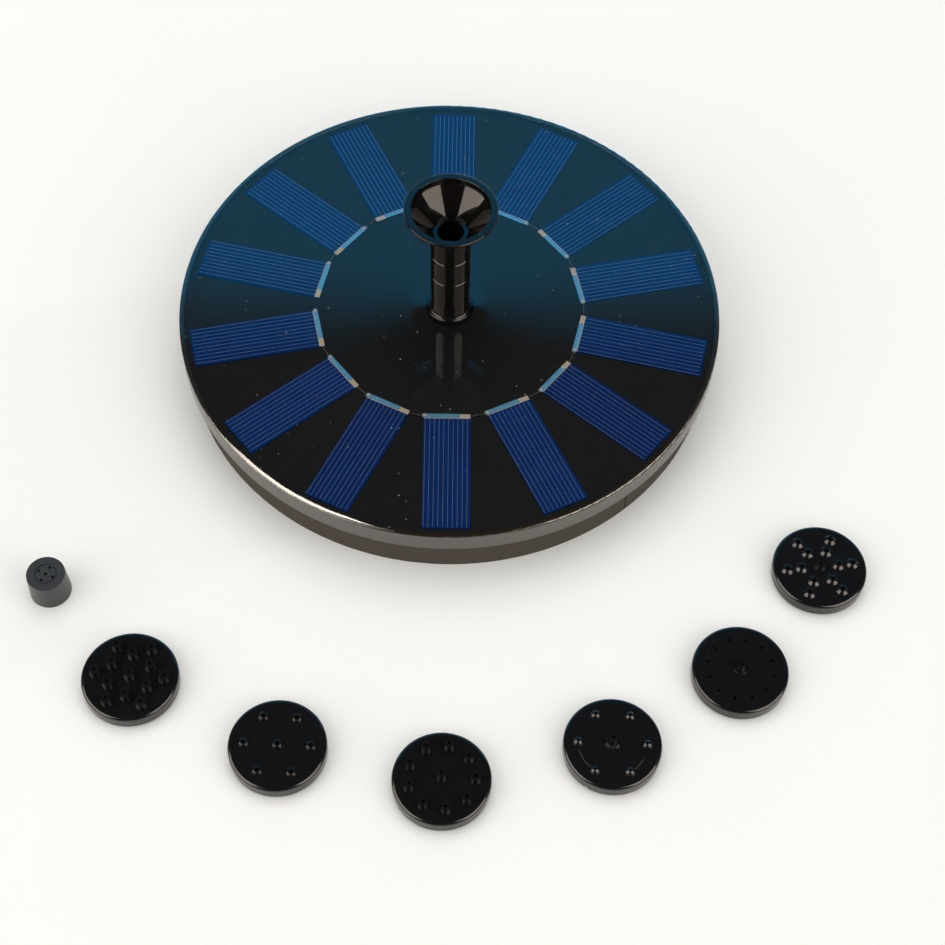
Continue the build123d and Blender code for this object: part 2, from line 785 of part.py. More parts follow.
with BuildPart() as strainer_cover:
    with BuildSketch():
        Circle(cover_radius)
    extrude(amount=cover_height)
    with BuildSketch(Plane.XY.offset(cover_floor)):
        Circle(cover_inner)
    extrude(amount=cover_height - cover_floor, mode=Mode.SUBTRACT)
    with BuildSketch():
        with PolarLocations((floor_slot_inner + floor_slot_outer) / 2, floor_slot_count):
            SlotOverall(floor_slot_outer - floor_slot_inner, floor_slot_width)
    extrude(amount=cover_floor, mode=Mode.SUBTRACT)
    with BuildSketch(Plane.XY.offset(wall_slot_bottom)):
        with PolarLocations((cover_inner + cover_radius) / 2, wall_slot_count, start_angle=4.5):
            Rectangle(cover_radius - cover_inner + 1, wall_slot_width)
    extrude(amount=wall_slot_top - wall_slot_bottom, mode=Mode.SUBTRACT)
    with BuildSketch(Plane.XY.offset(groove_bottom)):
        for number in range(lug_count):
            start = 120 * number - lug_half_angle - groove_slack
            sweep = twist_angle + 2 * (lug_half_angle + groove_slack)
            SlotArc(CenterArc((0, 0), groove_middle, start, sweep), groove_depth)
    extrude(amount=groove_top - groove_bottom, mode=Mode.SUBTRACT)
    with BuildSketch(Plane.XY.offset(groove_top)):
        for number in range(lug_count):
            start = 120 * number + twist_angle - lug_half_angle - groove_slack
            sweep = 2 * (lug_half_angle + groove_slack)
            SlotArc(CenterArc((0, 0), groove_middle, start, sweep), groove_depth)
    extrude(amount=cover_height - groove_top, mode=Mode.SUBTRACT)
    bottom_edge = strainer_cover.edges().filter_by(GeomType.CIRCLE).filter_by(
        lambda edge: abs(edge.radius - cover_radius) < 0.01 and edge.center().Z < 0.01
    )
    chamfer(bottom_edge, length=0.5)
save(strainer_cover, "strainer_cover")

# ---------------------------------------------------------------- spray heads
# Six round caps that press into the funnel's mouth, one at a time. They share one blank, and
# differ in the jets on top. Each lies loose on the surface in front of the disc.
head_top = head_lip_drop + head_skirt
head_hollow_top = head_top - head_plate
skirt_wall = 1.2
lip_wall = 1.1
jet_bore = 0.4
head_rounding = 0.9


def head_blank():
    """The plain cap: rounded plate and skirt, and inside it the lip that enters the funnel."""
    with BuildPart() as blank:
        with BuildSketch(Plane.XY.offset(head_lip_drop)):
            Circle(head_radius)
        extrude(amount=head_skirt)
        fillet(blank.edges().filter_by(GeomType.CIRCLE).sort_by(Axis.Z)[-1], radius=head_rounding)
        with BuildSketch(Plane.XY.offset(head_lip_drop)):
            Circle(head_radius - skirt_wall)
        extrude(amount=head_skirt - head_plate, mode=Mode.SUBTRACT)
        with BuildSketch():
            Circle(head_lip_radius)
            Circle(head_lip_radius - lip_wall, mode=Mode.SUBTRACT)
        extrude(amount=head_hollow_top + 0.2)
    return blank.part


def cone_jets(foot_radius, tip_radius, height, low=0.0):
    """A tapered jet at each current location, standing on the plate."""
    with Locations((0, 0, head_top + low + height / 2)):
        Cone(foot_radius, tip_radius, height)


def jet_bores(height):
    """The water hole of each jet at the current locations, through plate and jet."""
    with Locations((0, 0, head_hollow_top - 0.5)):
        Cylinder(
            jet_bore,
            height + head_plate + 1.0,
            align=(Align.CENTER, Align.CENTER, Align.MIN),
            mode=Mode.SUBTRACT,
        )


def place_head(blank, name, x, y):
    """Write a finished head at its place on the surface."""
    with BuildPart() as head:
        with Locations((x, y, 0)):
            add(blank.part)
    save(head, name)


# Thirteen tall jets: one in the middle, six and six in two rings, half a step apart.
tall_jet = 2.5

with BuildPart() as head_13_tall:
    add(head_blank())
    rings = [(0.0, 1, 0), (6.1, 6, 25), (9.4, 6, -5.5)]
    for reach, count, turn in rings:
        with PolarLocations(reach, count, start_angle=turn):
            cone_jets(1.65, 1.45, tall_jet)
    for reach, count, turn in rings:
        with PolarLocations(reach, count, start_angle=turn):
            jet_bores(tall_jet)
place_head(head_13_tall, "spray_head_13_tall", -86.7, -115.0)

# Seven low domed jets.
dome_jet = 0.9

with BuildPart() as head_7_dome:
    add(head_blank())
    rings = [(0.0, 1, 0), (8.95, 6, -3.5)]
    for reach, count, turn in rings:
        with PolarLocations(reach, count, start_angle=turn):
            cone_jets(1.45, 1.1, dome_jet)
    dome_edges = head_7_dome.edges().filter_by(GeomType.CIRCLE).group_by(Axis.Z)[-1]
    fillet(dome_edges, radius=0.4)
    for reach, count, turn in rings:
        with PolarLocations(reach, count, start_angle=turn):
            jet_bores(dome_jet)
place_head(head_7_dome, "spray_head_7_dome", -46.1, -135.2)

# Ten jets: a taller one in the middle and nine round it.
middle_jet = 3.6

with BuildPart() as head_10_tall:
    add(head_blank())
    cone_jets(1.5, 1.3, middle_jet)
    with PolarLocations(9.0, 9, start_angle=-3.3):
        cone_jets(1.5, 1.3, tall_jet)
    jet_bores(middle_jet)
    with PolarLocations(9.0, 9, start_angle=-3.3):
        jet_bores(tall_jet)
place_head(head_10_tall, "spray_head_10_tall", -2.7, -144.8)

# Six round bumps on the edge of a raised disc, and a stepped jet on a cone in the middle.
bump_circle = 9.2
bump_radius = 1.5
step_foot = 1.2
step_jet = 3.0

with BuildPart() as head_ring_dome:
    add(head_blank())
    with BuildSketch(Plane.XY.offset(head_top)):
        Circle(bump_circle + 0.1)
    extrude(amount=0.25, taper=30)
    with PolarLocations(bump_circle, 6, start_angle=-3):
        with Locations((0, 0, head_top - 0.35)):
            Sphere(bump_radius)
    cone_jets(2.3, 1.5, step_foot)
    cone_jets(1.2, 1.05, step_jet, low=step_foot)
    jet_bores(step_foot + step_jet)
    with PolarLocations(bump_circle, 6, start_angle=-3):
        jet_bores(bump_radius - 0.3)
    with BuildSketch(Plane.XY.offset(head_lip_drop)):
        with PolarLocations(head_radius, 1, start_angle=-124):
            Rectangle(0.8, 0.9)
    extrude(amount=0.7, mode=Mode.SUBTRACT)
place_head(head_ring_dome, "spray_head_ring_dome", 42.7, -135.1)

# Twelve thin radial slits and a stepped jet in the middle.
low_step = 0.9
low_jet = 1.9

with BuildPart() as head_12_slit:
    add(head_blank())
    cone_jets(1.95, 1.8, low_step)
    cone_jets(1.25, 1.15, low_jet, low=low_step)
    jet_bores(low_step + low_jet)
    with BuildSketch(Plane.XY.offset(head_hollow_top)):
        with PolarLocations(9.0, 12, start_angle=15.3):
            SlotOverall(1.3, 0.45)
    extrude(amount=head_plate + 0.1, mode=Mode.SUBTRACT)
place_head(head_12_slit, "spray_head_12_slit", 78.6, -113.3)

# Thirteen low jets on shallow mounds, the two rings in line.
mound = 0.7
middle_mound = 1.7

with BuildPart() as head_13_low:
    add(head_blank())
    rings = [(5.25, 6, 5.0), (9.3, 6, 6.0)]
    for reach, count, turn in rings:
        with PolarLocations(reach, count, start_angle=turn):
            cone_jets(1.75, 0.95, mound)
    cone_jets(1.7, 1.2, middle_mound)
    for reach, count, turn in rings:
        with PolarLocations(reach, count, start_angle=turn):
            jet_bores(mound)
    jet_bores(middle_mound)
place_head(head_13_low, "spray_head_13_low", 103.7, -81.4)

# ---------------------------------------------------------------- mini spray plug
# Small tapered plug with five jets, which pushes straight on a riser spigot.
plug_height = 9.05
plug_foot_radius = 5.75
plug_top_radius = 5.35
plug_socket_depth = 6.2
plug_x = -111.7
plug_y = -86.0

with BuildPart() as mini_plug:
    with Locations((0, 0, plug_height / 2)):
        Cone(plug_foot_radius, plug_top_radius, plug_height)
    with BuildSketch():
        Circle(socket_radius)
    extrude(amount=plug_socket_depth, mode=Mode.SUBTRACT)
    with BuildSketch():
        Circle(jet_bore + 0.05)
        with PolarLocations(2.2, 4, start_angle=64):
            Circle(jet_bore)
    extrude(amount=plug_height + 1, mode=Mode.SUBTRACT)
    with BuildSketch(Plane.XY.offset(plug_height)):
        Circle(3.15)
        Circle(2.75, mode=Mode.SUBTRACT)
    extrude(amount=-0.3, mode=Mode.SUBTRACT)

with BuildPart() as mini_spray_plug:
    with Locations((plug_x, plug_y, 0)):
        add(mini_plug.part)
save(mini_spray_plug, "mini_spray_plug")
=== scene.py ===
from math import cos, pi, radians, sin

import bpy
from mathutils import Matrix, Vector


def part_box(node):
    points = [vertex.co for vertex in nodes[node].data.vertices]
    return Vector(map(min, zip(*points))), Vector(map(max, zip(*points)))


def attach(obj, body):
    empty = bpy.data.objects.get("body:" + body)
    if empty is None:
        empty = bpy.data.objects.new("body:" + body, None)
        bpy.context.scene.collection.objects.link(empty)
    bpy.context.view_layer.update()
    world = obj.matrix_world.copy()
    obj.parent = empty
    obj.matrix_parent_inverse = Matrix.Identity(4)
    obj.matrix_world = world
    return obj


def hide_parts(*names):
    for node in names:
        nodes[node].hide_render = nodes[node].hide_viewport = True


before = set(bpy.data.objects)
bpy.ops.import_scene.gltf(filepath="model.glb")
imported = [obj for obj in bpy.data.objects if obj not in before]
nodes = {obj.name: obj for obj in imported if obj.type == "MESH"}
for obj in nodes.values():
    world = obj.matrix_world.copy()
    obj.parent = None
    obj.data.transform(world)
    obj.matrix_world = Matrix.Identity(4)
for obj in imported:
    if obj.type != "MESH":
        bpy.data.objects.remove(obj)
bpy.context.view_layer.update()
bpy.ops.object.select_all(action="DESELECT")

# ---------------------------------------------------------------- camera
# A long lens looks down on the disc and on the row of loose spray heads before it.
# The camera stands over the near edge of the table, a little left of the disc's middle.
camera_place = (-0.004187, -0.342067, 0.465853)
camera_turn = (radians(32.3289), radians(-0.9349), radians(-0.598))
sensor_mm = 36.0
lens_mm = 72.02
nearest_seen = 0.01

bpy.ops.object.camera_add(location=camera_place, rotation=camera_turn)
camera = bpy.context.object
camera.name = "camera"
camera.data.sensor_width = sensor_mm
camera.data.lens = lens_mm
camera.data.clip_start = nearest_seen
bpy.context.scene.camera = camera
bpy.context.scene.view_settings.view_transform = "Standard"

# ---------------------------------------------------------------- table
# A matt white studio table: a flat laminate sheet that turns up behind the object in one
# large bend, so that it has no far edge.
table_reach = 1.6
table_bend = 0.6
table_wall = 1.5
table_bend_steps = 24
floor_level = 0.001

bpy.ops.mesh.primitive_plane_add(size=2 * table_reach, location=(0, 0, 0))
table = bpy.context.object
table.name = "table"
bpy.ops.object.mode_set(mode="EDIT")
bpy.ops.mesh.select_all(action="DESELECT")
bpy.ops.object.mode_set(mode="OBJECT")
for edge in table.data.edges:
    edge.select = all(table.data.vertices[v].co.y > 0 for v in edge.vertices)
bpy.ops.object.mode_set(mode="EDIT")
bpy.ops.mesh.extrude_region_move(TRANSFORM_OT_translate={"value": (0, 0, table_wall)})
bpy.ops.object.mode_set(mode="OBJECT")
for edge in table.data.edges:
    edge.select = all(
        table.data.vertices[v].co.y > 0 and abs(table.data.vertices[v].co.z) < floor_level
        for v in edge.vertices
    )
bpy.ops.object.mode_set(mode="EDIT")
bpy.ops.mesh.bevel(offset=table_bend, segments=table_bend_steps, profile=0.5)
bpy.ops.object.mode_set(mode="OBJECT")
bpy.ops.object.shade_smooth()


def linear(hex_colour):
    """An sRGB hex colour as a linear colour, by the standard curve."""
    parts = [int(hex_colour[i:i + 2], 16) / 255 for i in (0, 2, 4)]
    parts = [p / 12.92 if p <= 0.04045 else ((p + 0.055) / 1.055) ** 2.4 for p in parts]
    return parts + [1.0]


def add_node(material, kind, inputs=None, **settings):
    """Add a node. Settings are its own options, and inputs are its sockets' values or links."""
    made = material.node_tree.nodes.new("ShaderNode" + kind)
    for name, value in settings.items():
        setattr(made, name, value)
    for name, value in (inputs or {}).items():
        if isinstance(value, bpy.types.NodeSocket):
            material.node_tree.links.new(value, made.inputs[name])
        else:
            made.inputs[name].default_value = value
    return made


def start_material(name):
    """A new empty material, and the object's own coordinates for its patterns."""
    material = bpy.data.materials.new(name)
    material.use_nodes = True
    material.node_tree.nodes.clear()
    place = add_node(material, "TexCoord").outputs["Object"]
    return material, place


def finish_material(material, shader):
    """Link the last shader to the material's output, and give the material back."""
    add_node(material, "OutputMaterial", {"Surface": shader.outputs[0]})
    return material


def per_mm(size):
    """The texture scale that gives features of this many millimetres."""
    return 1000.0 / size


# White melamine laminate: an even satin sheet, with a faint mottle from wiping.
melamine, place = start_material("white_melamine")
wiped = add_node(melamine, "TexNoise", {"Vector": place, "Scale": per_mm(180), "Detail": 2.0})
tint = add_node(
    melamine,
    "MixRGB",
    {"Fac": wiped.outputs["Fac"], "Color1": linear("e7e5e0"), "Color2": linear("eae9e4")},
)
sheen = add_node(melamine, "BsdfPrincipled", {"Base Color": tint.outputs[0], "Roughness": 0.6})
table.data.materials.append(finish_material(melamine, sheen))

# ---------------------------------------------------------------- studio light
# Two tall softboxes stand left and right of the table, a broad soft light hangs over it
# from behind, and a blue-green card behind the table shows in the panel's gloss.
room_colour = "ffffff"
room_light = 0.72
room_in_gloss = 0.012
softboxes = {
    "left": {"azimuth": -158, "elevation": 34, "width": 0.96, "height": 0.93},
    "right": {"azimuth": -35, "elevation": 34, "width": 0.82, "height": 0.93},
}
softbox_distance = 1.0
softbox_seen = 14.0
softbox_seen_colour = "fff0e0"
softbox_shed = 7.3
overhead_at = Vector((0.0, 0.5, 1.25))
overhead_size = 1.1
overhead_power = 4.5
table_middle = Vector((0, 0, 0))

world = bpy.data.worlds.new("studio")
bpy.context.scene.world = world
world.use_nodes = True
background = world.node_tree.nodes["Background"]
background.inputs["Color"].default_value = linear(room_colour)
ray = world.node_tree.nodes.new("ShaderNodeLightPath")
dimmer = world.node_tree.nodes.new("ShaderNodeMapRange")
dimmer.inputs["To Min"].default_value = room_light
dimmer.inputs["To Max"].default_value = room_in_gloss
world.node_tree.links.new(ray.outputs["Is Glossy Ray"], dimmer.inputs["Value"])
world.node_tree.links.new(dimmer.outputs[0], background.inputs["Strength"])


def aim(lamp, stand, target):
    """Stand a lamp somewhere and turn its face to a target."""
    lamp.location = stand
    lamp.rotation_euler = (target - stand).to_track_quat("-Z", "Y").to_euler()


# A softbox's fabric face is far brighter in a glossy surface than the light it sheds on the
# white table would suggest, so each is two lamps in one place, one seen and one shedding.
for side, box in softboxes.items():
    azimuth, elevation = radians(box["azimuth"]), radians(box["elevation"])
    level = cos(elevation)
    direction = Vector((cos(azimuth) * level, sin(azimuth) * level, sin(elevation)))
    for part, strength in (("seen", softbox_seen), ("shed", softbox_shed)):
        bpy.ops.object.light_add(type="AREA")
        lamp = bpy.context.object
        lamp.name = f"softbox_{side}_{part}"
        lamp.data.shape = "RECTANGLE"
        lamp.data.size = box["width"]
        lamp.data.size_y = box["height"]
        lamp.data.energy = strength * box["width"] * box["height"]
        lamp.visible_diffuse = part == "shed"
        lamp.visible_glossy = part == "seen"
        lamp.visible_camera = False
        if part == "seen":
            lamp.data.color = linear(softbox_seen_colour)[:3]
        aim(lamp, direction * softbox_distance, table_middle)

bpy.ops.object.light_add(type="AREA")
overhead = bpy.context.object
overhead.name = "overhead_light"
overhead.data.shape = "DISK"
overhead.data.size = overhead_size
overhead.data.energy = overhead_power
overhead.visible_glossy = False
overhead.visible_camera = False
aim(overhead, overhead_at, table_middle)

# The card is a sheet on a stand, brightest low down and fading to nothing at its top edge.
card_distance = 0.9
card_width = 1.9
card_low = 0.12
card_height = 1.18
card_fade = 0.2
card_strength = 1.8
card_colour = "1ca0d2"

bpy.ops.mesh.primitive_plane_add(size=1.0)
card = bpy.context.object
card.name = "blue_card"
card.scale = (card_width, card_height, 1)
card.rotation_euler = (pi / 2, 0, 0)
card.location = (0, card_distance, card_low + card_height / 2)
bpy.ops.object.transform_apply(location=True, rotation=True, scale=True)
paper, place = start_material("blue_card_paper")
along = add_node(paper, "SeparateXYZ", {"Vector": place})
card_top = card_low + card_height
fade = add_node(
    paper,
    "MapRange",
    {
        "Value": along.outputs["Z"],
        "From Min": card_top - card_fade,
        "From Max": card_top,
        "To Min": card_strength,
        "To Max": 0.0,
    },
    interpolation_type="SMOOTHSTEP",
)
glow = add_node(paper, "Emission", {"Color": linear(card_colour), "Strength": fade.outputs[0]})
card.data.materials.append(finish_material(paper, glow))
card.visible_camera = False
card.visible_diffuse = False
card.visible_transmission = False
card.visible_shadow = False

# ---------------------------------------------------------------- foam float ring
# A strip of grey-brown closed-cell EVA foam, die-cut and bent into a ring under the panel,
# its two ends butted together. The cut side shows the foam's grain and is not quite true.
foam_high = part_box("foam_float_ring")[1]
foam_outer = foam_high.x
foam_inner = 0.060
foam_top = foam_high.z
foam_seam = radians(-50.2)
foam_gap = radians(0.16)
foam_steps = 420
foam_edge = 0.0005
foam_edge_steps = 3
foam_side_rows = 13
foam_waviness = 0.00025
foam_wave_length = 0.006
foam_side_depth = 0.0001
foam_crease = radians(35)
weld_distance = 0.000001

bpy.ops.mesh.primitive_plane_add(size=1.0)
foam = bpy.context.object
foam.name = "foam_ring"
foam.scale = (foam_outer - foam_inner, foam_top, 1)
foam.rotation_euler = (pi / 2, 0, 0)
foam.location = ((foam_outer + foam_inner) / 2, 0, foam_top / 2)
bpy.ops.object.transform_apply(location=True, rotation=True, scale=True)
foam.rotation_euler = (0, 0, foam_seam + foam_gap / 2)
bpy.ops.object.transform_apply(rotation=True)
bpy.ops.object.mode_set(mode="EDIT")
bpy.ops.mesh.select_all(action="SELECT")
bpy.ops.mesh.bevel(offset=foam_edge, segments=foam_edge_steps, affect="VERTICES")
bpy.ops.mesh.select_all(action="SELECT")
bpy.ops.mesh.spin(
    steps=foam_steps, angle=-(2 * pi - foam_gap), center=(0, 0, 0), axis=(0, 0, 1)
)
bpy.ops.mesh.select_all(action="SELECT")
bpy.ops.mesh.remove_doubles(threshold=weld_distance)
bpy.ops.mesh.normals_make_consistent(inside=False)
bpy.ops.object.mode_set(mode="OBJECT")

# Five cuts round the ring give its side the points that its waviness needs.
for row in range(3, foam_side_rows - 1, 2):
    bpy.ops.object.mode_set(mode="EDIT")
    bpy.ops.mesh.select_all(action="SELECT")
    bpy.ops.mesh.bisect(plane_co=(0, 0, foam_top * row / foam_side_rows), plane_no=(0, 0, 1))
    bpy.ops.object.mode_set(mode="OBJECT")
side_points = [
    v.index for v in foam.data.vertices if v.co.xy.length > foam_outer - foam_side_depth
]
cut_side = foam.vertex_groups.new(name="cut_side")
cut_side.add(side_points, 1.0, "REPLACE")
uneven = bpy.data.textures.new("uneven_cut", "CLOUDS")
uneven.noise_scale = foam_wave_length
wavy = foam.modifiers.new("uneven_cut", "DISPLACE")
wavy.texture = uneven
wavy.texture_coords = "LOCAL"
wavy.strength = foam_waviness
wavy.mid_level = 1.0
wavy.vertex_group = "cut_side"
bpy.ops.object.modifier_apply(modifier=wavy.name)
bpy.ops.object.shade_smooth_by_angle(angle=foam_crease)

# EVA foam: matt all over, with pale and dark cells about half a millimetre across.
eva, place = start_material("cut_eva_foam")
cells = add_node(eva, "TexVoronoi", {"Vector": place, "Scale": per_mm(0.55), "Randomness": 1.0})
grain = add_node(
    eva,
    "TexNoise",
    {"Vector": place, "Scale": per_mm(0.9), "Detail": 4.0, "Roughness": 0.7},
)
patches = add_node(eva, "TexNoise", {"Vector": place, "Scale": per_mm(14), "Detail": 2.0})
speckle = add_node(
    eva,
    "MixRGB",
    {"Fac": grain.outputs["Fac"], "Color1": linear("1b1813"), "Color2": linear("4d4538")},
)
patched = add_node(
    eva,
    "MixRGB",
    {"Fac": patches.outputs["Fac"], "Color1": speckle.outputs[0], "Color2": linear("37312a")},
)
pits = add_node(
    eva, "Bump", {"Height": cells.outputs["Distance"], "Strength": 0.7, "Distance": 0.00012}
)
foam_shader = add_node(
    eva,
    "BsdfPrincipled",
    {"Base Color": patched.outputs[0], "Roughness": 0.92, "Normal": pits.outputs[0]},
)
foam.data.materials.append(finish_material(eva, foam_shader))
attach(foam, "base")
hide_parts("foam_float_ring")

# ---------------------------------------------------------------- panel tray
# The round tray is injection-moulded black ABS: a glossy rim band, with a floor, ribs and
# screw bosses under the panel.


def dress(material, *names):
    """Give CAD nodes a material in place of their plain one."""
    for name in names:
        nodes[name].material_slots[0].material = material


def moulded_abs(name, colour, roughness, dust, ior=1.54, wave_mm=1.6, wave_height=0.0000025):
    """Moulded ABS: glossy black, with waves where it shrank and settled dust specks."""
    material, place = start_material(name)
    flow = add_node(material, "TexNoise", {"Vector": place, "Scale": per_mm(7), "Detail": 3.0})
    gloss = add_node(
        material,
        "MapRange",
        {"Value": flow.outputs["Fac"], "To Min": roughness * 0.75, "To Max": roughness * 1.3},
    )
    skin = add_node(
        material, "TexNoise", {"Vector": place, "Scale": per_mm(wave_mm), "Detail": 1.0}
    )
    specks = add_node(material, "TexVoronoi", {"Vector": place, "Scale": per_mm(2.6)})
    chosen = add_node(material, "SeparateColor", {"Color": specks.outputs["Color"]})
    size = add_node(
        material,
        "MapRange",
        {"Value": chosen.outputs[0], "From Min": 1 - dust, "To Min": 0.0, "To Max": 0.045},
    )
    on_speck = add_node(
        material,
        "Math",
        {0: specks.outputs["Distance"], 1: size.outputs[0]},
        operation="LESS_THAN",
    )
    shade = add_node(
        material,
        "MixRGB",
        {"Fac": on_speck.outputs[0], "Color1": linear(colour), "Color2": linear("76706a")},
    )
    ripple = add_node(
        material,
        "Bump",
        {"Height": skin.outputs["Fac"], "Strength": 1.0, "Distance": wave_height},
    )
    shader = add_node(
        material,
        "BsdfPrincipled",
        {
            "Base Color": shade.outputs[0],
            "Roughness": gloss.outputs[0],
            "IOR": ior,
            "Normal": ripple.outputs[0],
        },
    )
    return finish_material(material, shader)


# The rim band is the shiniest face, so the tray's index stands over that of plain ABS.
# Its lighter, warm brown colour is partly a painted reflection of the table in the rim band.
dress(moulded_abs("tray_abs", "2b2318", 0.16, 0.12, ior=1.85), "panel_tray")

# ---------------------------------------------------------------- panel board
# A disc of glass-epoxy board with a black solder mask, set in the tray under the resin. The
# strips are laid on it, and its weave shows faintly through the mask.

# Solder mask: matt black ink over a fine glass weave, with a slow mottle.
mask, place = start_material("black_solder_mask")
weave = add_node(mask, "TexWave", {"Vector": place, "Scale": per_mm(3), "Distortion": 1.5})
mottle = add_node(mask, "TexNoise", {"Vector": place, "Scale": per_mm(25), "Detail": 4.0})
ink = add_node(
    mask,
    "MixRGB",
    {"Fac": mottle.outputs["Fac"], "Color1": linear("222323"), "Color2": linear("292929")},
)
thread = add_node(
    mask, "Bump", {"Height": weave.outputs["Fac"], "Strength": 0.1, "Distance": 0.00001}
)
mask_shader = add_node(
    mask,
    "BsdfPrincipled",
    {"Base Color": ink.outputs[0], "Roughness": 0.7, "Normal": thread.outputs[0]},
)
mask_shader.inputs["Specular IOR Level"].default_value = 0.0
dress(finish_material(mask, mask_shader), "panel_board")

# ---------------------------------------------------------------- solar cells
# Fourteen strips of crystalline silicon stand round the disc like spokes. A nitride coat
# makes them deep blue, and each strip's blue differs a little.
cell_count = 14
first_cell_angle = -91.2
cell_reach = 0.0576
cell_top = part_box("solar_cell_01")[1].z
cell_half_length = 0.019
cell_half_width = 0.00675
cell_angle_error = 0.25
cell_skew_error = 0.5
cell_reach_error = 0.00025


def cell_matrix(k):
    """Where strip k lies: X runs outward along it, Y counter-clockwise across it.

    The strips were laid by hand, and each one's small errors come from a sine of its number.
    """
    angle = radians(first_cell_angle + 360 / cell_count * k + cell_angle_error * sin(1.7 * k))
    skew = radians(cell_skew_error * sin(2.6 * k + 0.8))
    reach = cell_reach + cell_reach_error * sin(4.1 * k)
    middle = Vector((reach * cos(angle), reach * sin(angle), cell_top))
    return Matrix.Translation(middle) @ Matrix.Rotation(angle + skew, 4, "Z")


for k in range(cell_count):
    silicon, place = start_material(f"nitride_coated_silicon_{k + 1:02d}")
    shade = 0.5 + 0.5 * sin(2.3 * k)
    crystal = add_node(
        silicon, "TexNoise", {"Vector": place, "Scale": per_mm(6), "Detail": 5.0}
    )
    coat_one = [a + (b - a) * shade for a, b in zip(linear("002a66"), linear("00306f"))]
    coat_two = [a + (b - a) * shade for a, b in zip(linear("003678"), linear("013d80"))]
    coat = add_node(
        silicon, "MixRGB", {"Fac": crystal.outputs["Fac"], "Color1": coat_one, "Color2": coat_two}
    )
    cell_shader = add_node(
        silicon, "BsdfPrincipled", {"Base Color": coat.outputs[0], "Roughness": 0.5}
    )
    cell_shader.inputs["Specular IOR Level"].default_value = 0.05
    dress(finish_material(silicon, cell_shader), f"solar_cell_{k + 1:02d}")

# ---------------------------------------------------------------- printed silver grid
# Silver paste is screen-printed on each strip: ten fine fingers along it and one busbar
# across its inner end. The print stands a few hundredths of a millimetre proud.
finger_count = 10
finger_pitch = 0.00134
finger_width = 0.00013
finger_edge = 0.00048
finger_end = 0.0004
busbar_width = 0.0015
busbar_inset = 0.0003
print_thickness = 0.00003
print_slack = 0.0001

bpy.ops.mesh.primitive_plane_add(size=1.0)
fingers = bpy.context.object
fingers.name = "finger_print"
finger_length = 2 * cell_half_length - busbar_width - finger_end
fingers.scale = (finger_length, finger_width, 1)
fingers.location = (busbar_width / 2 - finger_end / 2, finger_edge - cell_half_width, 0)
bpy.ops.object.transform_apply(location=True, rotation=True, scale=True)
rows = fingers.modifiers.new("rows", "ARRAY")
rows.count = finger_count
rows.use_relative_offset = False
rows.use_constant_offset = True
rows.constant_offset_displace = (0, finger_pitch, 0)
bpy.ops.object.modifier_apply(modifier=rows.name)
bpy.ops.object.select_all(action="DESELECT")
bpy.ops.mesh.primitive_plane_add(size=1.0)
busbar = bpy.context.object
busbar.scale = (busbar_width, 2 * cell_half_width - busbar_inset, 1)
busbar.location = (-cell_half_length + busbar_width / 2, 0, 0)
bpy.ops.object.transform_apply(location=True, rotation=True, scale=True)
fingers.select_set(True)
bpy.context.view_layer.objects.active = fingers
bpy.ops.object.join()
bpy.ops.object.mode_set(mode="EDIT")
bpy.ops.mesh.select_all(action="SELECT")
bpy.ops.mesh.extrude_region_move(TRANSFORM_OT_translate={"value": (0, 0, print_thickness)})
bpy.ops.mesh.select_all(action="SELECT")
bpy.ops.mesh.normals_make_consistent(inside=False)
bpy.ops.object.mode_set(mode="OBJECT")

# Fired silver paste: pale grey and matt, a little worn and uneven along each line.
paste, place = start_material("fired_silver_paste")
worn = add_node(paste, "TexNoise", {"Vector": place, "Scale": per_mm(1.2), "Detail": 3.0})
metal = add_node(
    paste,
    "MixRGB",
    {"Fac": worn.outputs["Fac"], "Color1": linear("5f6260"), "Color2": linear("a19f92")},
)
paste_shader = add_node(
    paste, "BsdfPrincipled", {"Base Color": metal.outputs[0], "Metallic": 0.35, "Roughness": 0.5}
)
fingers.data.materials.append(finish_material(paste, paste_shader))

# Round the ribbon the busbar is wetted with solder: bright, warm and a little lumpy.
wetted, place = start_material("solder_wetted_paste")
lumpy = add_node(wetted, "TexNoise", {"Vector": place, "Scale": per_mm(0.7), "Detail": 2.0})
flux = add_node(
    wetted,
    "MixRGB",
    {"Fac": lumpy.outputs["Fac"], "Color1": linear("c9a97f"), "Color2": linear("f2e6d2")},
)
wetted_shader = add_node(
    wetted, "BsdfPrincipled", {"Base Color": flux.outputs[0], "Metallic": 0.3, "Roughness": 0.4}
)
fingers.data.materials.append(finish_material(wetted, wetted_shader))
for face in fingers.data.polygons:
    if face.center.x < busbar_width - cell_half_length + print_slack:
        face.material_index = 1

for k in range(cell_count):
    grid = bpy.data.objects.new(f"cell_print_{k + 1:02d}", fingers.data.copy())
    bpy.context.collection.objects.link(grid)
    grid.data.transform(cell_matrix(k))
    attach(grid, "base")
bpy.data.objects.remove(fingers)

# ---------------------------------------------------------------- ribbons, solder and links
# A tinned copper ribbon is soldered on each busbar, with a bright blob at one end, and thin
# copper links join each strip to the next in a polygon.

# Rolled tin plate: bright and dented. Its pale blue colour is partly a painted reflection of the
# blue card.
tin, place = start_material("tinned_copper_ribbon")
rolled = add_node(tin, "TexNoise", {"Vector": place, "Scale": per_mm(0.8), "Detail": 3.0})
dulled = add_node(
    tin, "MapRange", {"Value": rolled.outputs["Fac"], "To Min": 0.14, "To Max": 0.34}
)
dents = add_node(
    tin, "Bump", {"Height": rolled.outputs["Fac"], "Strength": 0.5, "Distance": 0.00006}
)
tin_shader = add_node(
    tin,
    "BsdfPrincipled",
    {
        "Base Color": linear("86ccea"),
        "Metallic": 0.55,
        "Roughness": dulled.outputs[0],
        "Normal": dents.outputs[0],
    },
)
dress(finish_material(tin, tin_shader), "bus_ribbons")

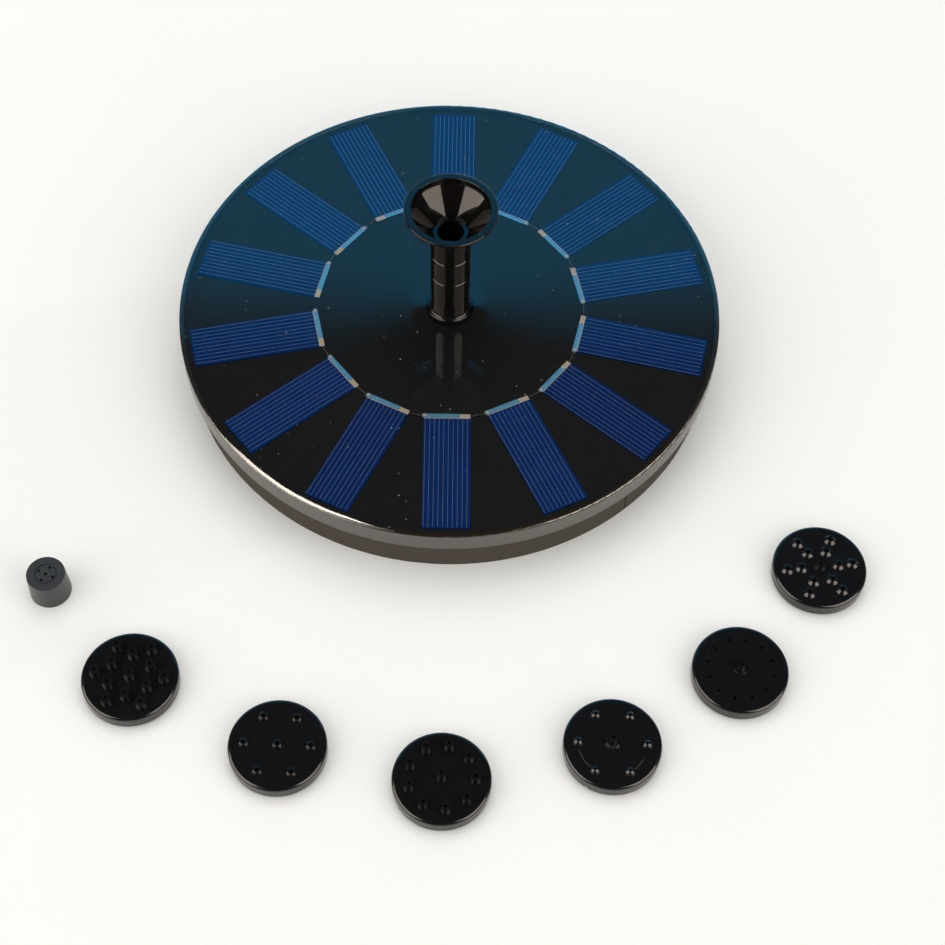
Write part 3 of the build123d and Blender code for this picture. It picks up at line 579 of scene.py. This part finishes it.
# Tin-lead solder: a frosted pale metal, duller than the ribbon.
lead_tin, place = start_material("tin_lead_solder")
frosted = add_node(lead_tin, "TexNoise", {"Vector": place, "Scale": per_mm(0.4), "Detail": 3.0})
frost = add_node(
    lead_tin, "MapRange", {"Value": frosted.outputs["Fac"], "To Min": 0.25, "To Max": 0.5}
)
solder_shader = add_node(
    lead_tin,
    "BsdfPrincipled",
    {"Base Color": linear("f1efe9"), "Metallic": 0.6, "Roughness": frost.outputs[0]},
)
dress(finish_material(lead_tin, solder_shader), "solder_joints")

# Bare copper wire: browned by the air, with a soft sheen.
copper, place = start_material("tarnished_copper_wire")
tarnish = add_node(copper, "TexNoise", {"Vector": place, "Scale": per_mm(2), "Detail": 3.0})
wire_tint = add_node(
    copper,
    "MixRGB",
    {"Fac": tarnish.outputs["Fac"], "Color1": linear("6d6357"), "Color2": linear("a5927c")},
)
copper_shader = add_node(
    copper,
    "BsdfPrincipled",
    {"Base Color": wire_tint.outputs[0], "Metallic": 0.8, "Roughness": 0.4},
)
dress(finish_material(copper, copper_shader), "link_wires")

# ---------------------------------------------------------------- resin top
# Clear epoxy is poured over the board and cells until it laps the tray's rim. It sets to a
# flat, glossy top with a small raised lip, whose outer edge is rounded and not quite even.
resin_bore = 0.00576
resin_bottom = 0.0168
resin_steps = 360
rim_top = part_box("panel_tray")[1].z
disc_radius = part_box("panel_tray")[1].x
rim_inner = 0.07855
lip_edge = disc_radius - 0.00012
lip_sunk = 0.0002
lip_cover = 0.0005
lip_undercut = 0.00012
lip_drop = 0.00002
lip_width = 0.0015
lip_waviness = 0.00012
lip_wave_length = 0.009
resin_crease = radians(50)

# How far each point of the lip lies in from its edge, and how high over the rim it stands.
lip_points = [
    (0.0001, 0.00011),
    (0.0003, 0.00019),
    (0.0005, 0.00022),
    (0.001, 0.00021),
    (0.003, 0.00015),
    (0.0065, 0.00005),
    (0.009, 0.00003),
]
# How far each point lies from the riser's axis, where the resin climbs up to the riser.
meniscus_points = [
    (0.04, 0.00003),
    (0.0125, 0.00003),
    (0.0108, 0.00007),
    (0.0094, 0.00016),
    (0.0082, 0.00031),
    (resin_bore, 0.0006),
]
resin_profile = [
    (resin_bore, resin_bottom),
    (rim_inner, resin_bottom),
    (rim_inner, rim_top - lip_sunk),
    (lip_edge - lip_cover, rim_top - lip_sunk),
    (lip_edge - lip_undercut, rim_top - lip_sunk),
    (lip_edge, rim_top - lip_drop),
]
resin_profile += [(lip_edge - inward, rim_top + height) for inward, height in lip_points]
resin_profile += [(reach, rim_top + height) for reach, height in meniscus_points]

bpy.ops.object.select_all(action="DESELECT")
bpy.ops.mesh.primitive_circle_add(vertices=len(resin_profile), radius=0.001)
resin = bpy.context.object
resin.name = "resin_pour"
for vertex, (reach, height) in zip(resin.data.vertices, resin_profile):
    vertex.co = (reach, 0, height)
bpy.ops.object.mode_set(mode="EDIT")
bpy.ops.mesh.select_all(action="SELECT")
bpy.ops.mesh.spin(steps=resin_steps, angle=2 * pi, center=(0, 0, 0), axis=(0, 0, 1))
bpy.ops.mesh.select_all(action="SELECT")
bpy.ops.mesh.remove_doubles(threshold=weld_distance)
bpy.ops.mesh.normals_make_consistent(inside=False)
bpy.ops.object.mode_set(mode="OBJECT")
lip_indices = [v.index for v in resin.data.vertices if v.co.xy.length > lip_edge - lip_width]
lip = resin.vertex_groups.new(name="lip")
lip.add(lip_indices, 1.0, "REPLACE")
pour = bpy.data.textures.new("uneven_pour", "CLOUDS")
pour.noise_scale = lip_wave_length
uneven_lip = resin.modifiers.new("uneven_pour", "DISPLACE")
uneven_lip.texture = pour
uneven_lip.texture_coords = "LOCAL"
uneven_lip.strength = lip_waviness
uneven_lip.mid_level = 0.75
uneven_lip.vertex_group = "lip"
bpy.ops.object.modifier_apply(modifier=uneven_lip.name)
bpy.ops.object.shade_smooth_by_angle(angle=resin_crease)

# Clear epoxy: water-clear with a hard gloss, a very slow waviness, and settled dust. On one
# side the outermost millimetre sagged as it set. It turns down to the rim there, and light
# inside the clear edge adds to its gloss.
sag_angle = radians(-122)
sag_half_angle = radians(24)
sag_width = 0.0012
sag_depth = 0.0008
sag_shine = 0.22
shine_start = lip_edge - 0.0011
shine_full = lip_edge - 0.0009
epoxy_roughness = 0.035
epoxy_ior = 1.5

epoxy, place = start_material("clear_poured_epoxy")
swell = add_node(epoxy, "TexNoise", {"Vector": place, "Scale": per_mm(28), "Detail": 1.0})
swelling = add_node(
    epoxy, "Bump", {"Height": swell.outputs["Fac"], "Strength": 0.3, "Distance": 0.0001}
)
flat_place = add_node(epoxy, "VectorMath", {0: place, 1: (1, 1, 0)}, operation="MULTIPLY")
reach_out = add_node(epoxy, "VectorMath", {0: flat_place.outputs[0]}, operation="LENGTH")
edge_fall = add_node(
    epoxy,
    "MapRange",
    {
        "Value": reach_out.outputs["Value"],
        "From Min": lip_edge - sag_width,
        "From Max": lip_edge,
    },
)
toward_sag = add_node(
    epoxy,
    "VectorMath",
    {0: flat_place.outputs[0], 1: (cos(sag_angle), sin(sag_angle), 0)},
    operation="DOT_PRODUCT",
)
sag_share = add_node(
    epoxy,
    "MapRange",
    {
        "Value": toward_sag.outputs["Value"],
        "From Min": lip_edge * cos(sag_half_angle),
        "From Max": lip_edge * cos(sag_half_angle / 2),
    },
)
sag_height = add_node(
    epoxy, "Math", {0: edge_fall.outputs[0], 1: sag_share.outputs[0]}, operation="MULTIPLY"
)
sagged = add_node(
    epoxy,
    "Bump",
    {"Height": sag_height.outputs[0], "Distance": sag_depth, "Normal": swelling.outputs[0]},
    invert=True,
)
mirror = add_node(
    epoxy,
    "BsdfGlossy",
    {
        "Color": linear("ffffff"),
        "Roughness": epoxy_roughness,
        "Normal": sagged.outputs[0],
    },
)
clear = add_node(epoxy, "BsdfTransparent", {"Color": linear("ffffff")})
gloss_share = add_node(epoxy, "Fresnel", {"IOR": epoxy_ior, "Normal": sagged.outputs[0]})
turned_down = add_node(
    epoxy,
    "MapRange",
    {
        "Value": reach_out.outputs["Value"],
        "From Min": shine_start,
        "From Max": shine_full,
        "To Max": sag_shine,
    },
)
inner_gloss = add_node(
    epoxy, "Math", {0: turned_down.outputs[0], 1: sag_share.outputs[0]}, operation="MULTIPLY"
)
whole_gloss = add_node(
    epoxy, "Math", {0: gloss_share.outputs[0], 1: inner_gloss.outputs[0]}, operation="ADD"
)
glass = add_node(
    epoxy,
    "MixShader",
    {"Fac": whole_gloss.outputs[0], 1: clear.outputs[0], 2: mirror.outputs[0]},
)
specks = add_node(epoxy, "TexVoronoi", {"Vector": place, "Scale": per_mm(2.4)})
chosen = add_node(epoxy, "SeparateColor", {"Color": specks.outputs["Color"]})
speck_size = add_node(
    epoxy,
    "MapRange",
    {"Value": chosen.outputs[0], "From Min": 0.45, "To Min": 0.0, "To Max": 0.075},
)
on_speck = add_node(
    epoxy,
    "Math",
    {0: specks.outputs["Distance"], 1: speck_size.outputs[0]},
    operation="LESS_THAN",
)
dust = add_node(epoxy, "BsdfDiffuse", {"Color": linear("a99f8d")})
dusty = add_node(
    epoxy, "MixShader", {"Fac": on_speck.outputs[0], 1: glass.outputs[0], 2: dust.outputs[0]}
)
resin.data.materials.append(finish_material(epoxy, dusty))
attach(resin, "base")
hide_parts("resin_top")

# ---------------------------------------------------------------- riser and extension tubes
# The riser is part of the pump's outlet and comes up through the panel, where a bead of
# sealant closes it in. The extension pushes on it. Both are glossy moulded ABS.
tube_abs = moulded_abs("tube_abs", "0c0b0a", 0.07, 0.12)
dress(tube_abs, "outlet_tube", "extension_tube")

# Silicone sealant: black and wet-looking, a little lumpy from the finger that drew it round.
sealer, place = start_material("black_silicone_sealant")
tooled = add_node(sealer, "TexNoise", {"Vector": place, "Scale": per_mm(2.2), "Detail": 2.0})
lumps = add_node(
    sealer, "Bump", {"Height": tooled.outputs["Fac"], "Strength": 0.5, "Distance": 0.0001}
)
sealer_shader = add_node(
    sealer,
    "BsdfPrincipled",
    {"Base Color": linear("0b0b0c"), "Roughness": 0.2, "Normal": lumps.outputs[0]},
)
dress(finish_material(sealer, sealer_shader), "foot_collar")

# ---------------------------------------------------------------- funnel adaptor
# A moulded ABS cup that pushes on the tube's top, and whose mouth takes a spray head. Its
# cone comes from a polished tool.
dress(moulded_abs("funnel_abs", "0d0c0a", 0.07, 0.14, ior=1.45), "funnel_adaptor")

# ---------------------------------------------------------------- pump housing
# The housing, volute cover and strainer are moulded in satin black ABS. Stainless screws
# close the first two on a rubber gasket, and the strainer locks with a twist.
housing_abs = moulded_abs("housing_abs", "151516", 0.3, 0.1)
dress(housing_abs, "pump_body", "volute_cover", "strainer_cover")

# Stainless steel: a turned, bright face with fine uneven gloss.
steel, place = start_material("stainless_screw_steel")
turned = add_node(steel, "TexNoise", {"Vector": place, "Scale": per_mm(0.5), "Detail": 2.0})
turned_gloss = add_node(
    steel, "MapRange", {"Value": turned.outputs["Fac"], "To Min": 0.2, "To Max": 0.4}
)
steel_shader = add_node(
    steel,
    "BsdfPrincipled",
    {"Base Color": linear("c4c3bf"), "Metallic": 1.0, "Roughness": turned_gloss.outputs[0]},
)
dress(finish_material(steel, steel_shader), "case_screws", "volute_screws")

# Nitrile rubber: matt and nearly black, with a pale bloom.
rubber, place = start_material("nitrile_rubber")
bloom = add_node(rubber, "TexNoise", {"Vector": place, "Scale": per_mm(4), "Detail": 3.0})
rubber_tint = add_node(
    rubber,
    "MixRGB",
    {"Fac": bloom.outputs["Fac"], "Color1": linear("161616"), "Color2": linear("232323")},
)
rubber_shader = add_node(
    rubber, "BsdfPrincipled", {"Base Color": rubber_tint.outputs[0], "Roughness": 0.7}
)
dress(finish_material(rubber, rubber_shader), "case_gasket")

# ---------------------------------------------------------------- filter pad
# A disc of coarse open-cell foam, cut from sheet and laid in the strainer. Its edges are
# soft and ragged from the cut.
pad_low, pad_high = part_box("filter_pad")
pad_radius = pad_high.x
pad_thickness = pad_high.z - pad_low.z
pad_gap = 0.0002
pad_steps = 144
pad_edge = 0.0005
pad_raggedness = 0.0003
pad_rag_length = 0.0015

bpy.ops.object.select_all(action="DESELECT")
bpy.ops.mesh.primitive_cylinder_add(
    vertices=pad_steps,
    radius=pad_radius - pad_gap,
    depth=pad_thickness - pad_gap,
    end_fill_type="TRIFAN",
    location=(0, 0, (pad_low.z + pad_high.z) / 2),
)
pad = bpy.context.object
pad.name = "filter_foam_pad"
bpy.ops.object.transform_apply(location=True, rotation=True, scale=True)
bpy.ops.object.mode_set(mode="EDIT")
bpy.ops.mesh.select_all(action="SELECT")
bpy.ops.mesh.bevel(offset=pad_edge, segments=2, affect="EDGES")
bpy.ops.mesh.select_all(action="SELECT")
bpy.ops.mesh.subdivide(number_cuts=2)
bpy.ops.object.mode_set(mode="OBJECT")
ragged = bpy.data.textures.new("ragged_foam", "CLOUDS")
ragged.noise_scale = pad_rag_length
rough_cut = pad.modifiers.new("ragged_foam", "DISPLACE")
rough_cut.texture = ragged
rough_cut.texture_coords = "LOCAL"
rough_cut.strength = pad_raggedness
rough_cut.mid_level = 1.0
bpy.ops.object.modifier_apply(modifier=rough_cut.name)

# Reticulated polyurethane: matt charcoal strands round open holes nearly a millimetre wide.
reticulated, place = start_material("reticulated_polyurethane")
holes = add_node(reticulated, "TexVoronoi", {"Vector": place, "Scale": per_mm(0.9)})
hole_depth = add_node(
    reticulated,
    "Bump",
    {"Height": holes.outputs["Distance"], "Strength": 1.0, "Distance": 0.0004},
    invert=True,
)
strands = add_node(
    reticulated,
    "MixRGB",
    {"Fac": holes.outputs["Distance"], "Color1": linear("0c0c0d"), "Color2": linear("39393b")},
)
pad_shader = add_node(
    reticulated,
    "BsdfPrincipled",
    {"Base Color": strands.outputs[0], "Roughness": 0.9, "Normal": hole_depth.outputs[0]},
)
pad.data.materials.append(finish_material(reticulated, pad_shader))
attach(pad, "strainer")
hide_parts("filter_pad")

# ---------------------------------------------------------------- stator and driver
# Laminated steel poles carry nylon bobbins wound with enamelled copper, fed from a small
# driver board, all potted in dark epoxy under the panel.


def plain_finish(name, one, two, grain, roughness, metallic=0.0):
    """A finish whose colour drifts between two tones over a grain of so many millimetres."""
    material, place = start_material(name)
    drift = add_node(
        material, "TexNoise", {"Vector": place, "Scale": per_mm(grain), "Detail": 3.0}
    )
    tone = add_node(
        material,
        "MixRGB",
        {"Fac": drift.outputs["Fac"], "Color1": linear(one), "Color2": linear(two)},
    )
    relief = add_node(
        material, "Bump", {"Height": drift.outputs["Fac"], "Strength": 0.2, "Distance": 0.00003}
    )
    shader = add_node(
        material,
        "BsdfPrincipled",
        {
            "Base Color": tone.outputs[0],
            "Roughness": roughness,
            "Metallic": metallic,
            "Normal": relief.outputs[0],
        },
    )
    return finish_material(material, shader)


dress(
    plain_finish("silicon_steel_laminations", "6b6a68", "8a8884", 0.5, 0.45, metallic=1.0),
    "stator_core",
)
dress(plain_finish("natural_nylon", "d9d2bd", "e4dfcf", 3.0, 0.45), "coil_bobbins")
dress(
    plain_finish("enamelled_copper_winding", "8c4a24", "b0652f", 0.25, 0.35, metallic=0.8),
    "stator_coils",
)
dress(plain_finish("green_glass_epoxy", "1c5a37", "226a41", 1.5, 0.4), "driver_board")
dress(plain_finish("component_moulding", "18181a", "242426", 0.8, 0.5), "driver_components")
dress(plain_finish("dark_potting_epoxy", "0d0d0f", "17171a", 6.0, 0.25), "motor_potting")
dress(plain_finish("red_pvc_lead", "a01c1a", "b3241f", 2.0, 0.4), "lead_positive")
dress(plain_finish("black_pvc_lead", "101010", "1b1b1b", 2.0, 0.4), "lead_negative")

# ---------------------------------------------------------------- rotor
# A ferrite ring magnet and a moulded impeller turn on a ground ceramic shaft, in plastic
# bushes with thrust washers above and below.
dress(plain_finish("ground_alumina", "e6e3dc", "f1efea", 1.0, 0.25), "ceramic_shaft")
dress(
    plain_finish("acetal_bearing_plastic", "dcdad2", "e8e6df", 2.0, 0.4),
    "lower_bush", "upper_bush", "thrust_washers",
)
dress(plain_finish("sintered_ferrite", "2c2a2a", "3b3838", 0.4, 0.55), "rotor_magnet")
dress(moulded_abs("impeller_abs", "1a1a1b", 0.3, 0.05), "impeller")

# ---------------------------------------------------------------- spray heads and plug
# Six round heads and one small plug lie before the disc. Each is one moulding of black
# ABS; the heads are glossy and the plug is duller.
dress(
    moulded_abs("spray_head_abs", "0e0e0f", 0.15, 0.08, wave_mm=7, wave_height=0.00022),
    "spray_head_13_tall", "spray_head_7_dome", "spray_head_10_tall",
    "spray_head_ring_dome", "spray_head_12_slit", "spray_head_13_low",
)
dress(moulded_abs("plug_abs", "2a2929", 0.38, 0.1), "mini_spray_plug")
